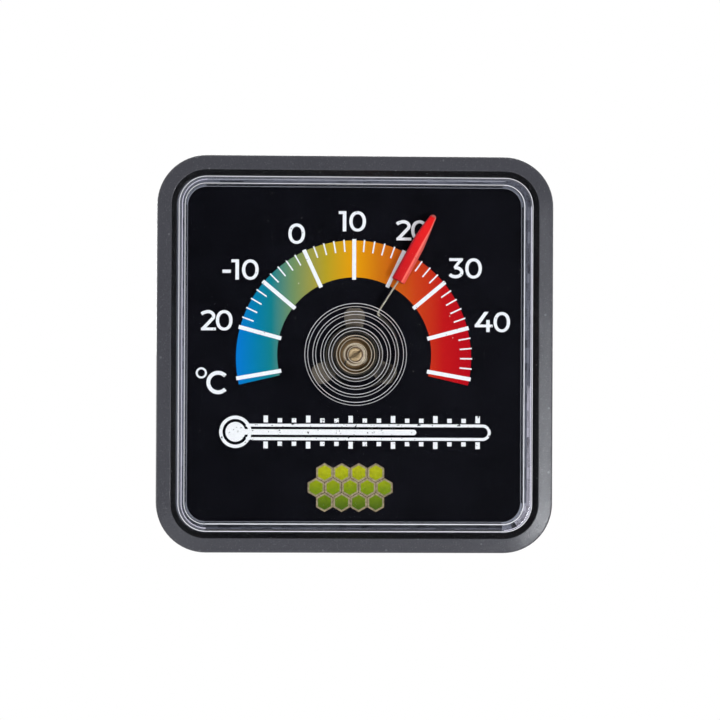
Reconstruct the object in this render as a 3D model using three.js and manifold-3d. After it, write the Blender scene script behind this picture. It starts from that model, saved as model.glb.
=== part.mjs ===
// A square stick-on dial thermometer for a terrarium, with a bimetal coil that carries its pointer.
import * as THREE from 'three';
import { mergeVertices } from 'three/addons/utils/BufferGeometryUtils.js';
import Module from 'manifold-3d';

const wasm = await Module();
wasm.setup();

// Sizes are in millimetres, and angles in degrees, clockwise from 12 o'clock as seen from the
// front. +Z is up, the dial faces -Y, and the origin is the middle of the adhesive pad's rear face.
// A depth is a distance in front of that face, towards -Y.

// Housing, the frame with rounded corners that is seen round the window
const HOUSING_SIDE = 60;
const HOUSING_CORNER = 7.5;
const HOUSING_WALL = 1.6;
const FRONT_EDGE_ROUND = 0.7;
const REAR_EDGE_ROUND = 0.4;
const BEZEL_BAND = 2.2;
const BEZEL_EDGE_ROUND = 0.3;
const BEZEL_EDGE_SWEEP = 65;
const BEZEL_SLOPE_WIDTH = 0.8;
const BEZEL_SLOPE_DEPTH = 1.3;
const LIP_THICKNESS = 1.1;

// Lens, a shallow clear tray whose flange is trapped behind the bezel's lip
const LENS_GAP = 0.2;
const LENS_WALL = 1.0;
const LENS_PLATE = 1.2;
const LENS_EDGE_ROUND = 0.5;
const LENS_INNER_ROUND = 0.35;
const LENS_HEADROOM = 1.0;
const FLANGE_THICKNESS = 1.0;
const CAVITY_CLEARANCE = 0.25;

// Ring ribs moulded inside the lens, over the coil
const RING_COUNT = 6;
const RING_FIRST_RADIUS = 1.44;
const RING_PITCH = 1.205;
const RING_WIDTH = 0.55;
const RING_CREST = 0.35;
const RING_HEIGHT = 0.25;

// Dial plate
const DIAL_THICKNESS = 0.5;
const DIAL_HOLE_GAP = 0.3;
const SCALE_MIDDLE = 10;
const DEGREES_PER_CELSIUS = 2.5;
const READING = 21.33;

// Back cover, snapped into the rear of the housing
const COVER_THICKNESS = 1.4;
const COVER_LAP = 0.5;
const COVER_CLEARANCE = 0.15;
const REAR_CLEARANCE = 1.7;
const SUPPORT_WALL = 1.0;
const SUPPORT_INSET = 1.9;
const HOOK_WIDTH = 7;
const HOOK_THICKNESS = 1.1;
const HOOK_GAP = 0.3;
const HOOK_TIP_GAP = 0.4;
const BARB_REACH = 0.7;
const BARB_HEIGHT = 1.5;
const BARB_NOSE = 0.3;
const POCKET_CLEARANCE = 0.15;
const VENT_COUNT = 7;
const VENT_WIDTH = 1.6;
const VENT_LENGTH = 5;
const VENT_PITCH = 5;

// Adhesive foam pad
const PAD_SIDE = 36;
const PAD_CORNER = 4;
const PAD_THICKNESS = 1.0;

// Coil carrier, a stamped cup with three feet
const CARRIER_SHEET = 0.4;
const CUP_RADIUS = 3.9;
const CUP_DEPTH = 1.6;
const CUP_BEND_ROUND = 0.4;
const FOOT_COUNT = 3;
const FOOT_REACH = 7.0;
const FOOT_WIDTH = 3.1;
const FOOT_NECK = 2.3;
const FOOT_END_ROUND = 1.0;
const TONGUE_WIDTH = 1.2;
const TONGUE_FOLD = 1.1;
const TONGUE_GAP = 0.3;

// Centre post, friction washer and retaining ring
const POST_RADIUS = 1.0;
const POST_RIM = 0.12;
const SHOULDER_RADIUS = 2.15;
const SHOULDER_CHAMFER = 0.45;
const SHANK_RADIUS = 0.9;
const SHANK_END = 0.4;
const POST_CLEARANCE = 0.1;
const POST_STANDOUT = 0.2;
const SLIT_CLEARANCE = 0.12;
const WASHER_RADIUS = 2.3;
const WASHER_THICKNESS = 0.22;
const WASHER_WAVE = 0.15;
const WASHER_WAVES = 3;
const WASHER_PLAY = 0.05;
const RETAINER_RADIUS = 2.2;
const RETAINER_THICKNESS = 0.4;
const RETAINER_TEETH = 6;
const RETAINER_ROOT = 1.5;
const RETAINER_NOTCH = 22;

// Bimetal strip: the coil, and the straight end that carries the pointer flag
const STRIP_THICKNESS = 0.2;
const STRIP_WIDTH = 1.6;
const COIL_RUNNING_GAP = 0.4;
const COIL_INNER_RADIUS = 2.35;
const COIL_OUTER_RADIUS = 6.93;
const COIL_TURNS = 3.5;
const COIL_OPENING = 2.1;
const COIL_OPENING_TURNS = 0.6;
const COIL_LEAD = 24;
const COIL_END_GAP = 0.3;
const ARM_GRIP = 3.5;

// Pointer flag, a moulded sleeve on the strip's end
const FLAG_BASE = 12.95;
const FLAG_LENGTH = 11.3;
const FLAG_WIDTH = 2.05;
const FLAG_PARALLEL = 5.6;
const FLAG_TIP_WIDTH = 0.9;
const FLAG_DEPTH = 2.4;
const FLAG_CHAMFER = 0.3;
const FLAG_OFFSET = 0.45;
const FLAG_CLEARANCE = 0.12;

// Facets
const CORNER_STEPS = 8;
const ROUND_STEPS = 3;
const CIRCLE_STEPS = 32;
const RING_STEPS = 64;
const STEPS_PER_TURN = 28;

// Depths, from the mounting face forwards
const coverRear = PAD_THICKNESS;
const coverFront = coverRear + COVER_THICKNESS;
const washerSpace = WASHER_THICKNESS + 2 * WASHER_WAVE + 2 * WASHER_PLAY;
const dialFront = coverFront + REAR_CLEARANCE + SHANK_END + RETAINER_THICKNESS + washerSpace
  + CARRIER_SHEET + CUP_DEPTH;
const dialRear = dialFront - DIAL_THICKNESS;
const cupFloorFront = dialFront - CUP_DEPTH;
const cupFloorRear = cupFloorFront - CARRIER_SHEET;
const washerMiddle = cupFloorRear - washerSpace / 2;
const retainerFront = cupFloorRear - washerSpace;
const retainerRear = retainerFront - RETAINER_THICKNESS;
const shankRear = retainerRear - SHANK_END;
const footFront = dialFront + CARRIER_SHEET;
const coilRear = footFront + COIL_RUNNING_GAP;
const coilFront = coilRear + STRIP_WIDTH;
const coilMiddle = (coilRear + coilFront) / 2;
const shoulderFront = coilRear - COIL_RUNNING_GAP / 2;
const postFront = coilFront + POST_STANDOUT;
const lipRear = dialFront + FLANGE_THICKNESS;
const lipFront = lipRear + LIP_THICKNESS;
const housingFront = lipFront + BEZEL_SLOPE_DEPTH;
const lensInside = Math.max(postFront, coilMiddle + FLAG_DEPTH / 2) + LENS_HEADROOM;
const lensFront = lensInside + LENS_PLATE;

// Half widths of the concentric rounded squares, from the outside in
const housingHalf = HOUSING_SIDE / 2;
const cornerCentre = housingHalf - HOUSING_CORNER;
const cavityHalf = housingHalf - HOUSING_WALL;
const rebateHalf = cavityHalf + COVER_LAP;
const flangeHalf = cavityHalf - CAVITY_CLEARANCE;
const bezelHalf = housingHalf - BEZEL_BAND;
const lipHalf = bezelHalf - BEZEL_SLOPE_WIDTH;
const lensHalf = lipHalf - LENS_GAP;
const lensInnerHalf = lensHalf - LENS_WALL;
const supportHalf = cavityHalf - SUPPORT_INSET;
const supportInnerHalf = supportHalf - SUPPORT_WALL;
const hookOuter = cavityHalf - HOOK_GAP;
const padHalf = PAD_SIDE / 2;

// Angles
const readingAngle = (READING - SCALE_MIDDLE) * DEGREES_PER_CELSIUS;
const coilEndAngle = readingAngle + THREE.MathUtils.radToDeg(COIL_END_GAP / COIL_OUTER_RADIUS);
const coilStartAngle = coilEndAngle + 360 * COIL_TURNS;
const slitAngle = coilStartAngle + COIL_LEAD;

// Points and shapes on the dial's plane hold X in x and Z in y
function onDial(radius, angle) {
  const turn = THREE.MathUtils.degToRad(angle);
  return new THREE.Vector2(radius * Math.sin(turn), radius * Math.cos(turn));
}

// The outline of a rounded square, anticlockwise as seen from the front
function squareOutline(half, corner) {
  const outline = [];
  for (let quarter = 0; quarter < 4; quarter += 1) {
    const middle = onDial(Math.SQRT2 * (half - corner), 45 - 90 * quarter);
    for (let step = 0; step <= CORNER_STEPS; step += 1) {
      outline.push(onDial(corner, 90 - 90 * quarter - (90 * step) / CORNER_STEPS).add(middle));
    }
  }
  return outline;
}

// A body with rounded square sections, each given as its half width and depth. The sections go
// from the rear forwards on the outside. They close on themselves round an opening, or else the
// first and the last are closed across the middle.
function squareLoft(sections, closed) {
  const positions = [];
  const index = [];
  sections.forEach(([half, depth]) => {
    squareOutline(half, half - cornerCentre).forEach((p) => positions.push(p.x, -depth, p.y));
  });
  const count = positions.length / 3 / sections.length;
  const bands = closed ? sections.length : sections.length - 1;
  for (let band = 0; band < bands; band += 1) {
    const near = band * count;
    const far = ((band + 1) % sections.length) * count;
    for (let j = 0; j < count; j += 1) {
      const k = (j + 1) % count;
      index.push(near + j, near + k, far + k, near + j, far + k, far + j);
    }
  }
  if (!closed) {
    const last = (sections.length - 1) * count;
    const middle = positions.length / 3;
    positions.push(0, -sections[0][1], 0, 0, -sections[sections.length - 1][1], 0);
    for (let j = 0; j < count; j += 1) {
      const k = (j + 1) % count;
      index.push(middle, k, j, middle + 1, last + j, last + k);
    }
  }
  const geometry = new THREE.BufferGeometry();
  geometry.setAttribute('position', new THREE.Float32BufferAttribute(positions, 3));
  geometry.setIndex(index);
  return geometry;
}

// Sections round an edge: a quarter circle about a half width and depth
function roundedEdge(half, depth, radius, from, to) {
  const sections = [];
  for (let step = 0; step <= ROUND_STEPS; step += 1) {
    const turn = THREE.MathUtils.degToRad(from + ((to - from) * step) / ROUND_STEPS);
    sections.push([half + radius * Math.cos(turn), depth + radius * Math.sin(turn)]);
  }
  return sections;
}

// A flat outline on the dial's plane made into a plate between two depths
function plate(shape, rear, front) {
  const options = { depth: front - rear, bevelEnabled: false, curveSegments: CORNER_STEPS };
  return faceForwards(new THREE.ExtrudeGeometry(shape, options), rear);
}

// Turns an extrusion's own X, Y and Z into X, up and forwards, starting at a depth
function faceForwards(geometry, rear) {
  const places = geometry.getAttribute('position');
  for (let i = 0; i < places.count; i += 1) {
    places.setXYZ(i, places.getX(i), -(places.getZ(i) + rear), places.getY(i));
  }
  return geometry;
}

// A body turned about the dial's axis. The profile gives radius and depth, rear to front outside.
function revolve(profile, steps) {
  const points = profile.map(([radius, depth]) => new THREE.Vector2(radius, -depth));
  return new THREE.LatheGeometry(points.reverse(), steps);
}

// Outlines run anticlockwise as seen from the front
function circle(radius, steps) {
  return Array.from({ length: steps }, (_, i) => onDial(radius, (-360 * i) / steps));
}

function boxBetween(low, high) {
  const size = new THREE.Vector3().subVectors(high, low);
  const box = new THREE.BoxGeometry(size.x, size.y, size.z);
  const middle = new THREE.Vector3().addVectors(low, high).multiplyScalar(0.5);
  return box.translate(middle.x, middle.y, middle.z);
}

function turned(geometry, angle) {
  return geometry.rotateY(THREE.MathUtils.degToRad(angle));
}

// Joining and cutting
function toSolid(geometry) {
  const bare = geometry.clone();
  bare.deleteAttribute('normal');
  bare.deleteAttribute('uv');
  const merged = mergeVertices(bare, 1e-5);
  const vertProperties = new Float32Array(merged.getAttribute('position').array);
  const triVerts = new Uint32Array(merged.getIndex().array);
  return new wasm.Manifold(new wasm.Mesh({ numProp: 3, vertProperties, triVerts }));
}

function combine(base, added, removed) {
  let solid = toSolid(base);
  added.forEach((geometry) => { solid = solid.add(toSolid(geometry)); });
  removed.forEach((geometry) => { solid = solid.subtract(toSolid(geometry)); });
  const { vertProperties, triVerts } = solid.getMesh();
  const geometry = new THREE.BufferGeometry();
  geometry.setAttribute('position', new THREE.BufferAttribute(vertProperties, 3));
  geometry.setIndex(new THREE.BufferAttribute(triVerts, 1));
  return geometry;
}

function fourSides(make) {
  return [0, 90, 180, 270].map((angle) => turned(make(), angle));
}

// Housing: one moulded frame, with the lip that holds the lens, a rebate for the cover, and a
// pocket in the middle of each wall for the cover's hooks
const hookTop = dialRear - HOOK_TIP_GAP;
const latchDepth = hookTop - BARB_HEIGHT;

function hookPocket() {
  const low = new THREE.Vector3(
    -HOOK_WIDTH / 2 - POCKET_CLEARANCE,
    -hookTop - POCKET_CLEARANCE,
    cavityHalf - HOOK_GAP,
  );
  const high = new THREE.Vector3(
    HOOK_WIDTH / 2 + POCKET_CLEARANCE,
    -latchDepth + POCKET_CLEARANCE,
    hookOuter + BARB_REACH + POCKET_CLEARANCE,
  );
  return boxBetween(low, high);
}

function makeHousing() {
  const r = REAR_EDGE_ROUND;
  const f = FRONT_EDGE_ROUND;
  const b = BEZEL_EDGE_ROUND;
  const sections = [
    ...roundedEdge(housingHalf - r, coverRear + r, r, -90, 0),
    ...roundedEdge(housingHalf - f, housingFront - f, f, 0, 90),
    ...roundedEdge(bezelHalf + b, housingFront - b, b, 90, 90 + BEZEL_EDGE_SWEEP),
    [lipHalf, lipFront],
    [lipHalf, lipRear],
    [cavityHalf, lipRear],
    [cavityHalf, coverFront],
    [rebateHalf, coverFront],
    [rebateHalf, coverRear],
  ];
  return combine(squareLoft(sections, true), [], fourSides(hookPocket));
}

// Lens: front plate, side wall and flange in one, with the ring ribs on the inside of the plate
function ringRib(radius) {
  const foot = lensInside + RING_HEIGHT / 2;
  const crest = lensInside - RING_HEIGHT;
  const profile = [
    [radius - RING_CREST / 2, crest],
    [radius + RING_CREST / 2, crest],
    [radius + RING_WIDTH / 2, lensInside],
    [radius + RING_WIDTH / 2, foot],
    [radius - RING_WIDTH / 2, foot],
    [radius - RING_WIDTH / 2, lensInside],
    [radius - RING_CREST / 2, crest],
  ];
  return revolve(profile, RING_STEPS);
}

function makeLens() {
  const e = LENS_EDGE_ROUND;
  const i = LENS_INNER_ROUND;
  const sections = [
    ...roundedEdge(lensInnerHalf - i, lensInside - i, i, 90, 0),
    [lensInnerHalf, dialFront],
    [flangeHalf, dialFront],
    [flangeHalf, lipRear],
    [lensHalf, lipRear],
    ...roundedEdge(lensHalf - e, lensFront - e, e, 0, 90),
  ];
  const ribs = [];
  for (let ring = 0; ring < RING_COUNT; ring += 1) {
    ribs.push(ringRib(RING_FIRST_RADIUS + ring * RING_PITCH));
  }
  return combine(squareLoft(sections, false), ribs, []);
}

// Dial plate: a thin printed sheet with a round hole for the cup and a slot for each foot's tongue
function tongueSlot(angle) {
  const inner = FOOT_REACH - CARRIER_SHEET - TONGUE_GAP;
  const outer = FOOT_REACH + TONGUE_GAP;
  const side = TONGUE_WIDTH / 2 + TONGUE_GAP;
  const corners = [[-side, inner], [side, inner], [side, outer], [-side, outer]];
  const centre = new THREE.Vector2();
  const turn = -THREE.MathUtils.degToRad(angle);
  return new THREE.Path(corners.map(([x, z]) => new THREE.Vector2(x, z).rotateAround(centre, turn)));
}

function footAngles() {
  return Array.from({ length: FOOT_COUNT }, (_, i) => (360 * i) / FOOT_COUNT);
}

function makeDial() {
  const outline = squareOutline(flangeHalf, flangeHalf - cornerCentre);
  const shape = new THREE.Shape(outline);
  shape.holes.push(new THREE.Path(circle(CUP_RADIUS + DIAL_HOLE_GAP, CIRCLE_STEPS)));
  footAngles().forEach((angle) => shape.holes.push(tongueSlot(angle)));
  return plate(shape, dialRear, dialFront);
}

// Coil carrier: a round cup that hangs in the dial's hole on three feet. Each foot ends in a tongue
// that goes through its slot and is folded inwards behind the dial.
function footShape() {
  const inner = CUP_RADIUS - CARRIER_SHEET;
  const wide = FOOT_WIDTH / 2;
  const narrow = FOOT_NECK / 2;
  const shoulder = (CUP_RADIUS + FOOT_REACH) / 2;
  const shape = new THREE.Shape();
  shape.moveTo(narrow, inner);
  shape.lineTo(wide, shoulder);
  shape.lineTo(wide, FOOT_REACH - FOOT_END_ROUND);
  shape.absarc(wide - FOOT_END_ROUND, FOOT_REACH - FOOT_END_ROUND, FOOT_END_ROUND, 0, Math.PI / 2);
  shape.absarc(FOOT_END_ROUND - wide, FOOT_REACH - FOOT_END_ROUND, FOOT_END_ROUND, Math.PI / 2, Math.PI);
  shape.lineTo(-wide, shoulder);
  shape.lineTo(-narrow, inner);
  return shape;
}

function tongue() {
  const outer = FOOT_REACH;
  const inner = outer - CARRIER_SHEET;
  const foldFront = dialRear;
  const foldRear = foldFront - CARRIER_SHEET;
  const shape = new THREE.Shape();
  shape.moveTo(outer, foldRear);
  shape.lineTo(outer, footFront);
  shape.lineTo(inner, footFront);
  shape.lineTo(inner, foldFront - TONGUE_GAP / 2);
  shape.lineTo(inner - TONGUE_FOLD, foldFront - TONGUE_GAP / 2);
  shape.lineTo(inner - TONGUE_FOLD, foldRear - TONGUE_GAP / 2);
  shape.lineTo(outer, foldRear - TONGUE_GAP / 2);
  const geometry = new THREE.ExtrudeGeometry(shape, { depth: TONGUE_WIDTH, bevelEnabled: false });
  const places = geometry.getAttribute('position');
  for (let i = 0; i < places.count; i += 1) {
    places.setXYZ(i, places.getZ(i) - TONGUE_WIDTH / 2, -places.getY(i), places.getX(i));
  }
  return geometry;
}

function makeCarrier() {
  const s = CARRIER_SHEET;
  const bore = SHANK_RADIUS + POST_CLEARANCE;
  const b = CUP_BEND_ROUND;
  const cup = revolve([
    [bore, cupFloorRear],
    [CUP_RADIUS - b, cupFloorRear],
    [CUP_RADIUS, cupFloorRear + b],
    [CUP_RADIUS, footFront],
    [CUP_RADIUS - s, footFront],
    [CUP_RADIUS - s, cupFloorFront],
    [bore, cupFloorFront],
    [bore, cupFloorRear],
  ], CIRCLE_STEPS);
  const feet = [];
  footAngles().forEach((angle) => {
    feet.push(turned(plate(footShape(), dialFront, footFront), angle));
    feet.push(turned(tongue(), angle));
  });
  return combine(cup, feet, []);
}

// Centre post: a turned brass pin. The strip's inner end sits in the slit, which also takes a
// screwdriver to set the pointer.
function makePost() {
  const post = revolve([
    [0, shankRear],
    [SHANK_RADIUS, shankRear],
    [SHANK_RADIUS, cupFloorFront],
    [SHOULDER_RADIUS, cupFloorFront],
    [SHOULDER_RADIUS, shoulderFront - SHOULDER_CHAMFER],
    [SHOULDER_RADIUS - SHOULDER_CHAMFER, shoulderFront],
    [POST_RADIUS, shoulderFront],
    [POST_RADIUS, postFront - POST_RIM],
    [POST_RADIUS - POST_RIM, postFront],
    [0, postFront],
  ], CIRCLE_STEPS);
  const side = STRIP_THICKNESS / 2 + SLIT_CLEARANCE;
  const slit = boxBetween(
    new THREE.Vector3(-side, -postFront - SLIT_CLEARANCE, -2 * POST_RADIUS),
    new THREE.Vector3(side, -coilRear + SLIT_CLEARANCE, 2 * POST_RADIUS),
  );
  return combine(post, [], [turned(slit, slitAngle)]);
}

// Friction washer: a waved ring that presses the post's shoulder onto the cup
function makeWasher() {
  const positions = [];
  const index = [];
  const inner = SHANK_RADIUS + POST_CLEARANCE;
  for (let step = 0; step < CIRCLE_STEPS; step += 1) {
    const turn = (2 * Math.PI * step) / CIRCLE_STEPS;
    const middle = washerMiddle + WASHER_WAVE * Math.cos(WASHER_WAVES * turn);
    const rear = middle - WASHER_THICKNESS / 2;
    const front = middle + WASHER_THICKNESS / 2;
    const section = [[WASHER_RADIUS, rear], [WASHER_RADIUS, front], [inner, front], [inner, rear]];
    section.forEach(([radius, depth]) => {
      positions.push(radius * Math.sin(turn), -depth, radius * Math.cos(turn));
    });
    const next = (step + 1) % CIRCLE_STEPS;
    for (let side = 0; side < 4; side += 1) {
      const a = 4 * step + side;
      const b = 4 * step + ((side + 1) % 4);
      const c = 4 * next + side;
      const d = 4 * next + ((side + 1) % 4);
      index.push(a, b, d, a, d, c);
    }
  }
  const geometry = new THREE.BufferGeometry();
  geometry.setAttribute('position', new THREE.Float32BufferAttribute(positions, 3));
  geometry.setIndex(index);
  return geometry;
}

// Retaining ring: pushed onto the shank, which its teeth grip
function makeRetainer() {
  const pitch = 360 / RETAINER_TEETH;
  const grip = SHANK_RADIUS + POST_CLEARANCE;
  const hole = [];
  for (let i = 0; i < RETAINER_TEETH; i += 1) {
    const start = pitch * i;
    hole.push(onDial(RETAINER_ROOT, start));
    hole.push(onDial(RETAINER_ROOT, start + RETAINER_NOTCH));
    hole.push(onDial(grip, start + RETAINER_NOTCH));
    hole.push(onDial(grip, start + pitch));
  }
  const shape = new THREE.Shape(circle(RETAINER_RADIUS, CIRCLE_STEPS));
  shape.holes.push(new THREE.Path(hole));
  return plate(shape, retainerRear, retainerFront);
}

// Bimetal strip on edge along a line of points on the dial's plane
function strip(line) {
  const positions = [];
  const index = [];
  const half = STRIP_THICKNESS / 2;
  line.forEach((point, i) => {
    const before = line[Math.max(i - 1, 0)];
    const after = line[Math.min(i + 1, line.length - 1)];
    const along = new THREE.Vector2().subVectors(after, before).normalize();
    const left = point.clone().add(new THREE.Vector2(-along.y, along.x).multiplyScalar(half));
    const right = point.clone().add(new THREE.Vector2(along.y, -along.x).multiplyScalar(half));
    [[left, coilRear], [left, coilFront], [right, coilFront], [right, coilRear]].forEach(([p, depth]) => {
      positions.push(p.x, -depth, p.y);
    });
    if (i > 0) {
      for (let side = 0; side < 4; side += 1) {
        const a = 4 * (i - 1) + side;
        const b = 4 * (i - 1) + ((side + 1) % 4);
        index.push(a, b, b + 4, a, b + 4, a + 4);
      }
    }
  });
  const end = 4 * (line.length - 1);
  index.push(0, 2, 1, 0, 3, 2, end, end + 1, end + 2, end, end + 2, end + 3);
  const geometry = new THREE.BufferGeometry();
  geometry.setAttribute('position', new THREE.Float32BufferAttribute(positions, 3));
  geometry.setIndex(index);
  return geometry;
}

// The coil's line: out of the slit, round a bend, and along a spiral whose last stretch opens out
function coilRadius(turns) {
  const pitch = (COIL_OUTER_RADIUS - COIL_INNER_RADIUS - COIL_OPENING) / COIL_TURNS;
  const opened = THREE.MathUtils.smoothstep(turns, COIL_TURNS - COIL_OPENING_TURNS, COIL_TURNS);
  return COIL_INNER_RADIUS + pitch * turns + COIL_OPENING * opened;
}

function coilLine() {
  const spiral = [];
  const count = Math.round(COIL_TURNS * STEPS_PER_TURN);
  for (let step = 0; step <= count; step += 1) {
    const turns = (COIL_TURNS * step) / count;
    spiral.push(onDial(coilRadius(turns), coilStartAngle - 360 * turns));
  }
  const held = onDial(-POST_RADIUS / 2, slitAngle);
  const leaves = onDial(POST_RADIUS + STRIP_THICKNESS, slitAngle);
  const bend = onDial(COIL_INNER_RADIUS, slitAngle);
  const lead = new THREE.QuadraticBezierCurve(leaves, bend, spiral[0]).getPoints(CORNER_STEPS);
  return [held, ...lead, ...spiral.slice(1)];
}

// The least space between turns, measured on the line's points a third of a turn or more apart
function leastGap(line) {
  let least = Infinity;
  const apart = Math.round(STEPS_PER_TURN / 3);
  for (let i = 0; i < line.length; i += 1) {
    for (let j = i + apart; j < line.length; j += 1) {
      least = Math.min(least, line[i].distanceTo(line[j]));
    }
  }
  return least - STRIP_THICKNESS;
}

// Pointer arm and flag, standing at 12 o'clock until their group is turned to the reading
function makeArm() {
  const line = [
    new THREE.Vector2(0, COIL_OUTER_RADIUS),
    new THREE.Vector2(FLAG_OFFSET, FLAG_BASE),
    new THREE.Vector2(FLAG_OFFSET, FLAG_BASE + ARM_GRIP),
  ];
  return strip(line);
}

function makeFlag() {
  const wide = FLAG_WIDTH / 2 - FLAG_CHAMFER;
  const tip = FLAG_TIP_WIDTH / 2;
  const narrow = Math.max(tip - FLAG_CHAMFER, tip / 4);
  const top = FLAG_LENGTH - tip;
  const shape = new THREE.Shape();
  shape.moveTo(-wide, FLAG_CHAMFER);
  shape.lineTo(wide, FLAG_CHAMFER);
  shape.lineTo(wide, FLAG_PARALLEL);
  shape.lineTo(narrow, top);
  shape.absarc(0, top, narrow, 0, Math.PI);
  shape.lineTo(-wide, FLAG_PARALLEL);
  const body = new THREE.ExtrudeGeometry(shape, {
    depth: FLAG_DEPTH - 2 * FLAG_CHAMFER,
    bevelThickness: FLAG_CHAMFER,
    bevelSize: FLAG_CHAMFER,
    bevelSegments: 1,
    curveSegments: CORNER_STEPS,
  });
  faceForwards(body, coilMiddle - FLAG_DEPTH / 2 + FLAG_CHAMFER);
  const side = STRIP_THICKNESS / 2 + FLAG_CLEARANCE;
  const slit = boxBetween(
    new THREE.Vector3(-side, -coilFront - FLAG_CLEARANCE, -FLAG_CLEARANCE),
    new THREE.Vector3(side, -coilRear + FLAG_CLEARANCE, ARM_GRIP + FLAG_CLEARANCE),
  );
  return combine(body, [], [slit]).translate(FLAG_OFFSET, 0, FLAG_BASE);
}

// Back cover: a plate with vents, a frame that holds the dial up to the lens, and four snap hooks
function snapHook() {
  const inner = hookOuter - HOOK_THICKNESS;
  const root = coverFront - COVER_THICKNESS / 2;
  const shape = new THREE.Shape();
  shape.moveTo(inner, root);
  shape.lineTo(hookOuter, root);
  shape.lineTo(hookOuter, latchDepth);
  shape.lineTo(hookOuter + BARB_REACH, latchDepth);
  shape.lineTo(hookOuter + BARB_REACH, latchDepth + BARB_NOSE);
  shape.lineTo(hookOuter, hookTop);
  shape.lineTo(inner, hookTop);
  const geometry = new THREE.ExtrudeGeometry(shape, { depth: HOOK_WIDTH, bevelEnabled: false });
  const places = geometry.getAttribute('position');
  for (let i = 0; i < places.count; i += 1) {
    places.setXYZ(i, places.getZ(i) - HOOK_WIDTH / 2, -places.getY(i), places.getX(i));
  }
  return geometry;
}

function vent(x, z) {
  const radius = VENT_WIDTH / 2;
  const reach = VENT_LENGTH / 2 - radius;
  const path = new THREE.Path();
  path.absarc(x, z + reach, radius, 0, Math.PI);
  path.absarc(x, z - reach, radius, Math.PI, 2 * Math.PI);
  path.closePath();
  return path;
}

function makeCover() {
  const half = rebateHalf - COVER_CLEARANCE;
  const shape = new THREE.Shape(squareOutline(half, half - cornerCentre));
  const row = (padHalf + supportInnerHalf) / 2;
  for (let i = 0; i < VENT_COUNT; i += 1) {
    const x = (i - (VENT_COUNT - 1) / 2) * VENT_PITCH;
    shape.holes.push(vent(x, row), vent(x, -row));
  }
  const root = coverFront - COVER_THICKNESS / 2;
  const support = squareLoft([
    [supportHalf, root],
    [supportHalf, dialRear],
    [supportInnerHalf, dialRear],
    [supportInnerHalf, root],
  ], true);
  return combine(plate(shape, coverRear, coverFront), [support, ...fourSides(snapHook)], []);
}

// Adhesive pad: a square of foam tape on the cover
function makePad() {
  return plate(new THREE.Shape(squareOutline(padHalf, PAD_CORNER)), 0, coverRear);
}

// Materials
function material(color, roughness, metalness) {
  return new THREE.MeshStandardMaterial({ color, roughness, metalness });
}

const greyPlastic = material(0x4b4c50, 0.6, 0);
const blackPlastic = material(0x1d1e20, 0.65, 0);
const printedBlack = material(0x0d0e12, 0.4, 0);
const stampedMetal = material(0x8b8070, 0.45, 0.9);
const brass = material(0xb59a62, 0.35, 1);
const springSteel = material(0x9a9a98, 0.35, 1);
const bimetal = material(0xa7a294, 0.35, 0.9);
const redPlastic = material(0xe0262a, 0.4, 0);
const foam = material(0xe4e3de, 0.95, 0);
const clearPlastic = material(0xe8eef2, 0.05, 0);
clearPlastic.transparent = true;
clearPlastic.opacity = 0.3;

function named(name, geometry, finish) {
  const mesh = new THREE.Mesh(geometry, finish);
  mesh.name = name;
  return mesh;
}

// Assembly
const thermometer = new THREE.Group();
const line = coilLine();
console.log(`least gap between the coil's turns ${leastGap(line).toFixed(3)} mm`);

const pointer = new THREE.Group();
pointer.add(named('pointer_arm', makeArm(), bimetal));
pointer.add(named('pointer_flag', makeFlag(), redPlastic));
pointer.rotation.y = THREE.MathUtils.degToRad(readingAngle);

thermometer.add(
  named('housing', makeHousing(), greyPlastic),
  named('lens', makeLens(), clearPlastic),
  named('dial_plate', makeDial(), printedBlack),
  named('coil_carrier', makeCarrier(), stampedMetal),
  named('centre_post', makePost(), brass),
  named('friction_washer', makeWasher(), springSteel),
  named('retaining_ring', makeRetainer(), springSteel),
  named('bimetal_coil', strip(line), bimetal),
  named('back_cover', makeCover(), blackPlastic),
  named('adhesive_pad', makePad(), foam),
  pointer,
);

export default thermometer;
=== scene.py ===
import math

import bmesh
import bpy
from mathutils import Matrix, Vector, geometry


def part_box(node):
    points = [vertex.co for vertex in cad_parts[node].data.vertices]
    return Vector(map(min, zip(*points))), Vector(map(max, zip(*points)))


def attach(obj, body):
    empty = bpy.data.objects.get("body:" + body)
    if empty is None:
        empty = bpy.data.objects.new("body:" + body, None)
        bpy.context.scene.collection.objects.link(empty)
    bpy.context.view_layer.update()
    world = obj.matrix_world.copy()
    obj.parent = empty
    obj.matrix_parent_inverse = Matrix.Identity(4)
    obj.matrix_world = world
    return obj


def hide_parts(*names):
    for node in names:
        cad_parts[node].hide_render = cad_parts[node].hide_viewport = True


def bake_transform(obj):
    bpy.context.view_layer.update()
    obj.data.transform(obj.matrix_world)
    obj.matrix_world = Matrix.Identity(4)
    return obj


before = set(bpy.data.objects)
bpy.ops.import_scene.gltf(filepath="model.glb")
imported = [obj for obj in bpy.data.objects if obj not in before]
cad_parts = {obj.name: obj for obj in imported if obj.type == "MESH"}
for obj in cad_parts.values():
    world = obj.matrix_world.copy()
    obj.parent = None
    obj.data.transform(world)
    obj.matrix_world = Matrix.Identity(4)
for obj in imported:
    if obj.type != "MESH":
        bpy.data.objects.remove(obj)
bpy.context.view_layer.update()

# Sizes are in millimetres, and angles in degrees, clockwise from 12 o'clock as seen from the
# front. A depth is a distance in front of the mounting face, towards -Y.
MM = 0.001


def span(node, axis):
    """The least and the greatest coordinate of a CAD node along an axis."""
    low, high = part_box(node)
    return low[axis] / MM, high[axis] / MM


def depths(node):
    """The depths of a CAD node's rear and front."""
    least, greatest = span(node, 1)
    return -greatest, -least


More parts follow.
